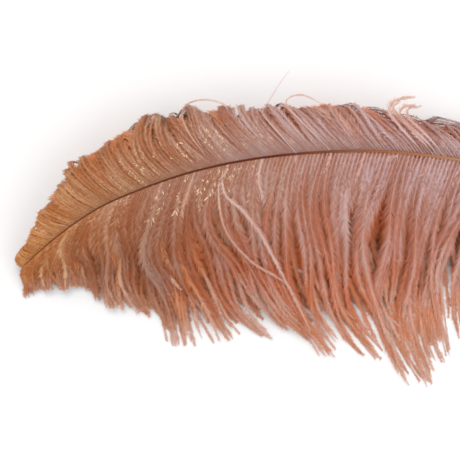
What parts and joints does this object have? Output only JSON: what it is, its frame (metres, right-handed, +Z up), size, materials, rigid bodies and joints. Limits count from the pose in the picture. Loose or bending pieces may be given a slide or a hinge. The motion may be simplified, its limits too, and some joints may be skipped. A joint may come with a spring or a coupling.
{
  "type": "ostrich feather",
  "caption": "Dyed ostrich plume lying front side up, with a nodding curled tip and long soft drooping barbs along a bare-based shaft.",
  "frame": {"origin": "centre of the flat under the bare quill, on the surface that the feather lies on", "axes": "+Z up out of the feather's front side, -X along the shaft from the quill to the tip, +Y towards the upper vane that rolls over"},
  "size_m": [0.4231, 0.1822, 0.0544],
  "materials": {
    "vane": "soft matt barbs with a silky sheen, dyed blush to apricot",
    "shaft": "smooth horn-like keratin, satin, tan at the quill and dark brown towards the tip"
  },
  "bodies": {
    "root": {"feather": "vane"}
  },
  "joints": []
}
